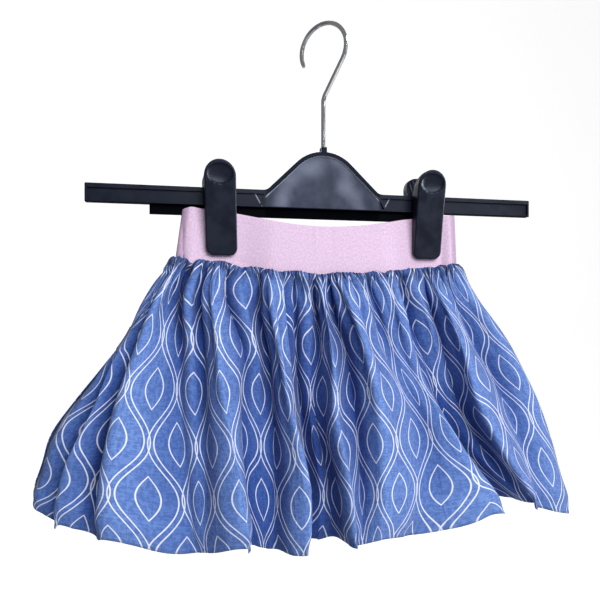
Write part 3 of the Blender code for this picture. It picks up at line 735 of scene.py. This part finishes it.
clips = {"places": (-73.0, 77.7), "halfWidth": 11.0, "fade": 26.0}
plan = {
    "power": 2.6, "setBackPower": 4, "sideGap": 0.04, "pinchHeights": (42.0, 50.0, 80.0),
    "pinch": (1.0, 0.5, 0.0),
}
seamLine = (
    (-106, -44.5), (-102, -44.2), (-97, -45.8), (-94.5, -47.6), (-91.5, -45.4), (-81, -45.9),
    (-64.5, -49), (-54, -50.9), (-43, -51.5), (-35.5, -54), (-26, -52.5), (-15, -54.4),
    (0, -54.4), (30, -53.4), (75, -49.4), (106, -44.9),
)
skirt = {
    "outsideBand": 3.0, "overlap": 1.5, "drop": 186.0, "endFade": 16.0, "dense": 1400, "rising": 0.26,
    "falling": 0.1, "lobesFull": 0.1, "columns": 504, "rows": 84, "closerOnTop": 1.25, "cloth": 0.5,
    "flat": (0.5, 0.215), "clothLength": 0.195,
    # how far the cloth turns in at the seam and at the hem, and over what share of its length
    "seamTuck": (0.9, 0.014), "hemTuck": (3.4, 0.07),
    # the seam's uneven edge: share of the length, lift by the gathers, height, number and drift of
    # the bunches, and the power that rounds them
    "bunches": (0.03, 0.4, 1.7, 9.5, 0.8, 0.6),
    # down, left, right, front, back, left set back, right set back
    "plans": (
        (0, -106.2, 107.8, 10.6, 10, 0, 0),
        (0.03, -109.8, 110.6, 12.6, 11.8, 0, 0),
        (0.08, -117.8, 114, 15.2, 13.8, 1, 0),
        (0.16, -127, 122.5, 20.5, 17.5, 2, 0),
        (0.30, -139, 141.5, 28, 23, 6, 0),
        (0.44, -157, 157.5, 33, 27, 11, 1),
        (0.58, -175, 172, 37.5, 30.5, 16, 2),
        (0.72, -190, 183, 41, 33.5, 20, 3),
        (0.86, -197, 192, 43.5, 36.5, 23, 4),
        (1, -205, 202.5, 45, 39, 25, 4),
    ),
    "hemFront": (
        (-206, -209), (-198, -216.5), (-193, -221.5), (-187, -221.5), (-181, -219), (-172, -222),
        (-164, -225), (-157, -224.5), (-150, -223.2), (-142, -224.5), (-133, -227.6), (-121, -232.6),
        (-109, -236.6), (-100, -238.2), (-91, -237.9), (-84, -235.7), (-76, -232.6), (-67, -230.2),
        (-59, -230.4), (-51, -235.5), (-40, -238.6), (-27, -238.3), (-14, -236.5), (-4, -237.3),
        (6, -236.6), (14, -233.9), (28, -230.8), (41, -231.6), (55, -233.2), (77, -230.8), (100, -226),
        (110, -222), (120, -221.4), (135, -221.6), (148, -222.2), (174, -230), (205, -238.5),
    ),
    "hemBack": (
        (-206, -209), (-160, -220), (-60, -232), (30, -235), (120, -228),
        (170, -231), (205, -238.5),
    ),
    # folds: where each valley lies along X at the fold levels, and how deep it is there
    "foldLevels": (0.0, 0.12, 0.33, 0.55, 0.77, 1.0),
    "valleysFront": (
        ((-108, -119, -143, -163, -183, -193), (0, 8, 11, 15, 14, 10)),
        ((-103, -116, -133, -148, -158.5, -166), (0.4, 10, 16, 19, 17, 10)),
        ((-94, -104, -104, -103.5, -99, -94), (0.4, 14, 14, 16, 17, 15)),
        ((-82, -90, -89.5, -89, -88, -87), (0.4, 12, 12, 15, 15, 10)),
        ((-67, -70.5, -61.2, -60, -59.5, -55), (0.4, 13, 12, 12, 12, 10)),
        ((-49, -50.5, -44, -41, -41, -41.5), (0.4, 14, 16, 18, 18, 14)),
        ((-22, -22.2, -22.8, -19.5, -15.5, -19), (0.4, 14, 18, 22, 25, 26)),
        ((-9, -7.5, -9, -11, -3, 0), (0.4, 14, 15, 17, 21, 24)),
        ((2, 5.5, 13.5, 16.5, 17, 16), (0.4, 13, 14, 12, 8, -2)),
        ((28, 36, 46, 63, 67, 60), (0.4, 8, 14, 13, 8, 5)),
        ((57, 61.5, 74, 84, 102, 137), (0.4, 14, 20, 20, 24, 28)),
        ((74, 81, 91, 99, 118, 149), (0.4, 16, 18, 18, 16, 9)),
        ((92, 100, 117, 138, 150, 161), (0.4, 7, 15, 15, 10, 6)),
    ),
    "valleysBack": (
        ((-105, -112, -130, -150, -164, -176), (0.4, 4, 7, 8, 9, 10)),
        ((-93, -97, -108, -121, -131, -139), (0.4, 6, 10, 12, 13, 13)),
        ((-72, -75, -80, -85, -88, -91), (0.4, 6, 6, 5, 4, 3)),
        ((-51, -53, -56, -59, -63, -66), (0.4, 7, 9, 11, 13, 14)),
        ((-27, -28, -30, -30, -28, -26), (0.4, 6, 6, 5, 4, 2)),
        ((-6, -6, -5, -5, -7, -9), (0.4, 7, 9, 11, 12, 12)),
        ((14, 15, 17, 21, 27, 33), (0.4, 6, 6, 5, 5, 4)),
        ((35, 38, 43, 50, 57, 64), (0.4, 7, 10, 12, 14, 14)),
        ((55, 58, 66, 74, 80, 86), (0.4, 6, 5, 4, 3, 2)),
        ((74, 79, 90, 102, 113, 123), (0.4, 7, 10, 12, 13, 13)),
        ((92, 99, 116, 136, 150, 163), (0.4, 4, 6, 8, 9, 9)),
    ),
    # lobes between the valleys: at some levels, where the crest lies from one valley to the
    # next, and how far it stands out
    "lobeLevels": (0.1, 0.4, 0.7, 1.0),
    "lobesFront": (
        ((0.5, 0.5, 0.5, 0.5), (0, 0, 0, 0)), ((0.35, 0.35, 0.35, 0.35), (1, 2, 2, 1)),
        ((0.15, 0.15, 0.15, 0.2), (2, 3.5, 3.5, 3)), ((0.5, 0.5, 0.5, 0.5), (-2, -9, -14, -13)),
        ((0.5, 0.45, 0.75, 0.92), (2.5, 5, 5.5, 5.5)), ((0.5, 0.5, 0.5, 0.5), (-2, -9, -12, -12)),
        ((0.35, 0.4, 0.7, 0.92), (2, 5, 5.5, 4)), ((0.5, 0.5, 0.5, 0.5), (-9, -12, -14, -18)),
        ((0.3, 0.35, 0.45, 0.6), (1, 5.5, 5, 4)), ((0.22, 0.22, 0.22, 0.25), (4, 7, 7, 5.5)),
        ((0.6, 0.6, 0.85, 0.82), (1, -12, 1, 3.5)), ((0.5, 0.55, 0.5, 0.5), (-1, -14, -15, -16)),
        ((0.3, 0.12, 0.12, 0.25), (-3, 3.5, 3.5, 2)), ((0.5, 0.5, 0.5, 0.5), (0, 0, 0, 0)),
    ),
    "lobesBack": (
        ((0.5, 0.5, 0.5, 0.5), (0, 0, 0, 0)), ((0.6, 0.75, 0.75, 0.75), (1, 1, 1, 1)),
        ((0.4, 0.3, 0.3, 0.3), (2, 2, 2, 2)), ((0.6, 0.85, 0.85, 0.85), (1, 2, 3, 3)),
        ((0.4, 0.35, 0.3, 0.3), (2, 2, 3, 3)), ((0.6, 0.85, 0.85, 0.85), (1, 2, 3, 3)),
        ((0.4, 0.3, 0.3, 0.25), (2, 3, 3, 3)), ((0.6, 0.8, 0.85, 0.8), (1, 2, 3, 3)),
        ((0.4, 0.3, 0.25, 0.3), (2, 3, 3, 3)), ((0.6, 0.8, 0.8, 0.8), (2, 2, 2, 2)),
        ((0.4, 0.3, 0.3, 0.3), (1, 1, 1, 1)), ((0.5, 0.5, 0.5, 0.5), (0, 0, 0, 0)),
    ),
    # gathers that merge on the way down: how many, then strength at some levels
    "gatherSets": (
        (120, (0.0, 0.008, 0.024, 0.04, 0.06), (0.9, 1.2, 0.9, 0.3, 0.0)),
        (47, (0.0, 0.015, 0.05, 0.12, 0.24), (0.3, 0.8, 1.7, 1.2, 0.0)),
        (23, (0.0, 0.05, 0.15, 0.35, 0.65), (0.0, 0.7, 2.1, 1.4, 0.0)),
        (11, (0.0, 0.2, 0.5, 0.8, 1.0), (0.0, 0.3, 1.2, 1.3, 1.1)),
    ),
}
gather = {
    "seed": 40, "height": 1.9, "power": (0.7, 0.25), "levelBy": 0.07, "drift": (0.9, 0.25),
    "uneven": (0.75, 0.35), "endFade": 15.0,
}


def pinchOpen(x, height):  # 0 between the clips' jaws, 1 well clear of them
    jaw = np.interp(-height, plan["pinchHeights"], plan["pinch"])
    shut = np.zeros_like(x)
    for middle in clips["places"]:
        away = (np.abs(x - middle) - clips["halfWidth"]) / clips["fade"]
        shut = np.maximum(shut, 1 - ease(away))
    return 1 - shut * jaw


def planCurve(left, right, depth, leftBack, rightBack, facing, least, height, dense):
    # a squared-off half ellipse, its ends set back, pressed flat where a clip holds it
    turn = np.linspace(-math.pi / 2, math.pi / 2, dense)
    across = np.sign(np.sin(turn)) * np.abs(np.sin(turn)) ** (2 / plan["power"])
    bulge = np.abs(np.cos(turn)) ** (2 / plan["power"])
    x = (left + right) / 2 + (right - left) / 2 * across
    stand = depth * bulge
    pressed = least + (stand - least) * pinchOpen(x, height)
    stand = np.where(stand > least, pressed, stand)
    corner = np.where(across < 0, leftBack, rightBack) * np.abs(across) ** plan["setBackPower"]
    return x, corner + facing * (plan["sideGap"] + stand)


def arcLengths(x, y):
    return np.concatenate([[0.0], np.cumsum(np.hypot(np.diff(x), np.diff(y)))])


def planRow(facing, down):  # the smooth plan of one level: x, y and length along it
    rows = np.array(skirt["plans"], float)
    left, right, front, back, leftBack, rightBack = (
        smoothThrough(rows[:, 0], rows[:, column], down) for column in range(1, 7)
    )
    least = band["middle"] + skirt["outsideBand"]
    level = band["seamMiddle"] - skirt["drop"] * down
    depth = front if facing < 0 else back
    x, y = planCurve(left, right, depth, leftBack, rightBack, facing, least, level, skirt["dense"])
    return x, y, arcLengths(x, y)


def foldNet(facing, down, x, length):
    # valley, shoulder and crest points of one level, as places along the plan and depths inward
    side = "Front" if facing < 0 else "Back"
    levels = skirt["foldLevels"]
    edges, sunk = [0.0], [0.0]
    for places, depths in skirt["valleys" + side]:
        edges.append(float(np.interp(smoothThrough(levels, places, down), x, length)))
        sunk.append(float(smoothThrough(levels, depths, down)))
    edges.append(length[-1])
    sunk.append(0.0)
    along, inward = [0.0], [0.0]
    for number, (crests, rises) in enumerate(skirt["lobes" + side]):
        wide = edges[number + 1] - edges[number]
        crest = float(smoothThrough(skirt["lobeLevels"], crests, down))
        peak = -float(smoothThrough(skirt["lobeLevels"], rises, down) * ease(down / skirt["lobesFull"]))
        before, after = sunk[number], sunk[number + 1]
        rising = 0.5 + skirt["rising"] * crest
        falling = 0.5 + skirt["falling"] * (1 - crest)
        for part, deep in (
            (crest * 0.5, before + (peak - before) * rising), (crest, peak),
            ((1 + crest) * 0.5, after + (peak - after) * falling), (1.0, after),
        ):
            along.append(edges[number] + part * wide)
            inward.append(deep)
    return np.array(along), np.array(inward)


def netSpread(facing):  # the share of the cloth's width that each stretch between net points takes
    total = 0.0
    for down in np.linspace(0.05, 1, 12):
        x, _, length = planRow(facing, down)
        along, inward = foldNet(facing, down, x, length)
        total = total + np.hypot(np.diff(along), np.diff(inward))
    return np.concatenate([[0.0], np.cumsum(total) / total.sum()])


def skirtRow(facing, down, spread):
    x, y, length = planRow(facing, down)
    slopeX, slopeY = np.gradient(x, length), np.gradient(y, length)
    along, inward = foldNet(facing, down, x, length)
    even = np.linspace(0, 1, skirt["columns"] + 1)
    along, inward = smoothThrough(spread, along, even), smoothThrough(spread, inward, even)
    ends = ease(np.minimum(along, length[-1] - along) / skirt["endFade"])
    inward = inward * ends * facing
    baseX, baseY = np.interp(along, length, x), np.interp(along, length, y)
    folded = (
        baseX + inward * np.interp(along, length, slopeY),
        baseY - inward * np.interp(along, length, slopeX),
    )
    top = alongEdge(seamLine, baseX) + skirt["overlap"]
    bottom = alongEdge(skirt["hemFront"] if facing < 0 else skirt["hemBack"], baseX)
    return np.stack([*folded, top + (bottom - top) * down], -1)


def gatherPuff(facing, across, down):  # small gathers at the seam that merge into wider ones below
    puff = np.zeros(np.broadcast(across, down).shape)
    power, powerStep = gather["power"]
    driftAcross, driftDown = gather["drift"]
    even, uneven = gather["uneven"]
    for number, (count, levels, strengths) in enumerate(skirt["gatherSets"]):
        seed = gather["seed"] + number * 7 + (3 if facing > 0 else 0)
        drift = driftAcross * wander(across, seed, 6, 1.0, 6.0)
        drift = drift + driftDown * wander(down, seed + 1, 3, 0.3, 1.0)
        wave = np.abs(np.sin(math.pi * (count * across + drift))) ** (power + powerStep * number)
        wave = gather["height"] * wave - ease(down / gather["levelBy"])
        size = even + uneven * wander(across, seed + 2, 9, count / 8, count / 3)
        puff = puff + wave * size * smoothThrough(levels, strengths, down)
    return puff * ease(np.minimum(across, 1 - across) * gather["endFade"])


def buildSkirt(facing):
    name = "skirtFront" if facing < 0 else "skirtBack"
    rows, columns = skirt["rows"], skirt["columns"]
    levels = np.linspace(0, 1, rows + 1) ** skirt["closerOnTop"]
    spread = netSpread(facing)
    grid = np.array([skirtRow(facing, down, spread) for down in levels])
    normal = gridNormals(grid, facing)
    across, down = np.linspace(0, 1, columns + 1)[None, :], levels[:, None]
    puff = gatherPuff(facing, across, down)
    seamTuck, seamShare = skirt["seamTuck"]
    hemTuck, hemShare = skirt["hemTuck"]
    tuck = seamTuck * (1 - ease(down / seamShare)) + hemTuck * ease((down - 1 + hemShare) / hemShare)
    grid = grid + normal * (puff - tuck)[:, :, None]
    share, lift, high, count, drift, power = skirt["bunches"]
    turn = math.pi * (count * across + drift * wander(across, 5 + facing, 6, 1.0, 5.0))
    edge = lift * puff - high + high * np.abs(np.sin(turn)) ** power
    grid[:, :, 2] += edge * (1 - ease(down / share))
    uv = np.stack(np.broadcast_arrays(across * skirt["flat"][0], down * skirt["clothLength"]), -1)
    quads = gridQuads(rows + 1, columns + 1, facing > 0)
    # the openness that the cloth's painted fold shade reads
    values = {"openness": openness(grid, facing)}
    piece = newMesh(name, grid.reshape(-1, 3), quads, uv.reshape(-1, 2), values=values)
    piece.data.materials.append(chambrayPrinted)
    piece.data.materials.append(chambrayInside)
    thicken(piece, skirt["cloth"], inside=1)
    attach(piece, "root")
    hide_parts("skirt_front" if facing < 0 else "skirt_back")
    return piece


def bandRow(facing, down):
    left, right, front, back = (
        float(np.interp(down, [0, 1], [row[column] for row in band["rows"]])) for column in range(1, 5)
    )
    level = band["topMiddle"] + (band["seamMiddle"] - band["topMiddle"]) * down
    depth = front if facing < 0 else back
    x, y = planCurve(left, right, depth, 0, 0, facing, band["middle"], level, band["dense"])
    length = arcLengths(x, y)
    even = np.linspace(0, length[-1], band["columns"] + 1)
    x, y = np.interp(even, length, x), np.interp(even, length, y)
    for middle, half, atTop, atSeam in band["dents"]:
        swell = np.exp(-((x - middle * -facing) / half) ** 2)
        y = y + facing * (atTop + (atSeam - atTop) * down) * swell
    top = alongEdge(band["topFront"] if facing < 0 else band["topBack"], x)
    bottom = alongEdge(seamLine, x) - band["underSkirt"]
    return np.stack([x, y, top + (bottom - top) * down], -1)


def buildBand(facing):  # one length of knit folded over at the top: up outside, round, down inside
    name = "bandFront" if facing < 0 else "bandBack"
    rise = band["rise"]
    levels = np.linspace(0, 1, rise + 1)
    grid = np.array([bandRow(facing, down) for down in levels])
    normal = gridNormals(grid, facing)
    half = (band["thickness"] - band["layer"]) / 2
    outside = (grid + normal * half)[::-1]
    inside = grid - normal * half
    turn = np.linspace(0, math.pi, band["foldSteps"])[1:-1]
    up = np.array([0.0, 0.0, 1.0])
    over = grid[0] + half * (np.cos(turn)[:, None, None] * normal[0] + np.sin(turn)[:, None, None] * up)
    points = np.concatenate([outside, over, inside])
    rows, columns = points.shape[:2]
    steps = np.linalg.norm(np.diff(points, axis=0), axis=2).mean(axis=1)
    run = np.concatenate([[0.0], np.cumsum(steps)]) * mm
    across = np.linspace(0, band["flat"][0], columns)
    uv = np.stack(np.broadcast_arrays(across[None, :], run[:, None]), -1)
    piece = newMesh(name, points.reshape(-1, 3), gridQuads(rows, columns, facing < 0), uv.reshape(-1, 2))
    piece.data.materials.append(pinkKnit)
    thicken(piece, band["layer"])
    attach(piece, "root")
    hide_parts("waistband_front" if facing < 0 else "waistband_back")
    return piece


for facing in (-1, 1):
    buildSkirt(facing)
    buildBand(facing)
print("skirt and waistband made")

# Clip leaves

leaf = {
    "half": 10.85, "top": 23.2, "bottom": -41.0, "corner": 5.5, "fillet": 1.2, "innerFillet": 0.45,
    # height, inner face and outer face
    "levels": (
        (-41.0, 2.6, 5.9), (-36.0, 2.7, 6.9), (-13.5, 3.3, 10.6), (6.8, 3.4, 14.5), (23.2, 13.6, 17.8),
    ),
    "dishAt": 13.6, "dish": (8.9, 2.3, 6.9), "ribPitch": 3.2, "rib": 0.9, "ribFrom": (3.0, 6.0),
    "ribInset": 1.5, "across": 60, "upRows": 58, "downRows": 44, "tip": 0.02, "sharp": 38,
    "set": {"left": (-73.8, -2.2), "right": (78.5, 0.0)},
}


def leafEdge(height):  # half the leaf's width: round on top, straight sides, rounded jaw corners
    half, corner = leaf["half"], leaf["corner"]
    over = np.clip(height - (leaf["top"] - half), 0, half)
    under = np.clip(leaf["bottom"] + corner - height, 0, corner)
    return np.sqrt(half ** 2 - over ** 2) - corner + np.sqrt(corner ** 2 - under ** 2)


def leafInset(x, height):  # how far inside the leaf's outline a point lies
    half, corner = leaf["half"], leaf["corner"]
    over = np.maximum(height - (leaf["top"] - half), 0)
    top = half - np.hypot(x, over)
    beside = np.maximum(np.abs(x) - (half - corner), 0)
    under = np.maximum(leaf["bottom"] + corner - height, 0)
    low = np.where((beside > 0) | (under > 0), corner - np.hypot(beside, under), corner)
    return np.maximum(np.minimum(top, np.where(height < 0, low, half)), 0)


def rolled(inset, radius):  # how far a rounded edge falls away, by the distance from the outline
    short = np.clip(radius - inset, 0, radius)
    return radius - np.sqrt(radius ** 2 - short ** 2)


def buildLeaf(side, facing):
    middle, lean = leaf["set"][side]
    levels = np.array(leaf["levels"])
    turn = np.linspace(0, math.pi / 2, leaf["upRows"])
    up = (leaf["top"] - leaf["tip"]) * np.sin(turn)[::-1]
    fall = (1 - np.cos(np.linspace(0, math.pi, leaf["downRows"]))) / 2
    height = np.concatenate([up, leaf["bottom"] * fall[1:]])[:, None]
    part = np.sin(np.linspace(-math.pi / 2, math.pi / 2, leaf["across"]))[None, :]
    x = leafEdge(height) * part
    height = height + 0 * x
    inset = leafInset(x, height)
    inner = np.interp(height, levels[:, 0], levels[:, 1])
    outer = np.interp(height, levels[:, 0], levels[:, 2])
    atDish, atTop = (np.interp(at, levels[:, 0], levels[:, 2]) for at in (leaf["dishAt"], leaf["top"]))
    slope = math.atan2(atTop - atDish, leaf["top"] - leaf["dishAt"])
    wide, deep, tall = leaf["dish"]
    left = 1 - (x / wide) ** 2 - ((height - leaf["dishAt"]) / math.cos(slope) / tall) ** 2
    outer = outer - rolled(inset, leaf["fillet"]) - deep * np.sqrt(np.clip(left, 0, 1))
    start, full = leaf["ribFrom"]
    ribs = leaf["rib"] * np.sin(math.pi * x / leaf["ribPitch"]) ** 2
    ribs = ribs * ease((height - start) / (full - start)) * ease(inset / leaf["ribInset"])
    inner = inner + rolled(inset, leaf["innerFillet"]) - ribs
    shift = middle + (height - leaf["bottom"]) * math.tan(math.radians(lean))
    front = np.stack([shift + x, facing * outer, height], -1)
    back = np.stack([shift + x, facing * inner, height], -1)[:, ::-1]
    rings = np.concatenate([front, back, front[:, :1]], axis=1)
    rows, columns = rings.shape[:2]
    quads = gridQuads(rows, columns, facing > 0)
    index = np.arange(rows * columns).reshape(rows, columns)
    count = leaf["across"]
    caps = []
    for row, flip in ((0, facing < 0), (-1, facing > 0)):
        near, far = index[row, :count], index[row, 2 * count - 1:count - 1:-1]
        cap = np.stack([near[:-1], near[1:], far[1:], far[:-1]], -1)
        caps.append(cap[:, ::-1] if flip else cap)
    name = f"clip{side.title()}{'Front' if facing < 0 else 'Back'}"
    piece = newMesh(name, rings.reshape(-1, 3), np.concatenate([quads, *caps]), sharp=leaf["sharp"])
    piece.data.materials.append(clipPlastic)
    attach(piece, "root")
    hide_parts(f"clip_{side}_{'front' if facing < 0 else 'back'}")


for side in ("left", "right"):
    for facing in (-1, 1):
        buildLeaf(side, facing)
print("clip leaves made")

# The hanger's bar, its hook and the springs show their solids

for node, material in (
    ("hanger_body", hangerPlastic), ("hook", chromeWire),
    ("clip_left_spring", springSteel), ("clip_right_spring", springSteel),
):
    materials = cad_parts[node].data.materials
    materials.clear()
    materials.append(material)
print("hanger finished")
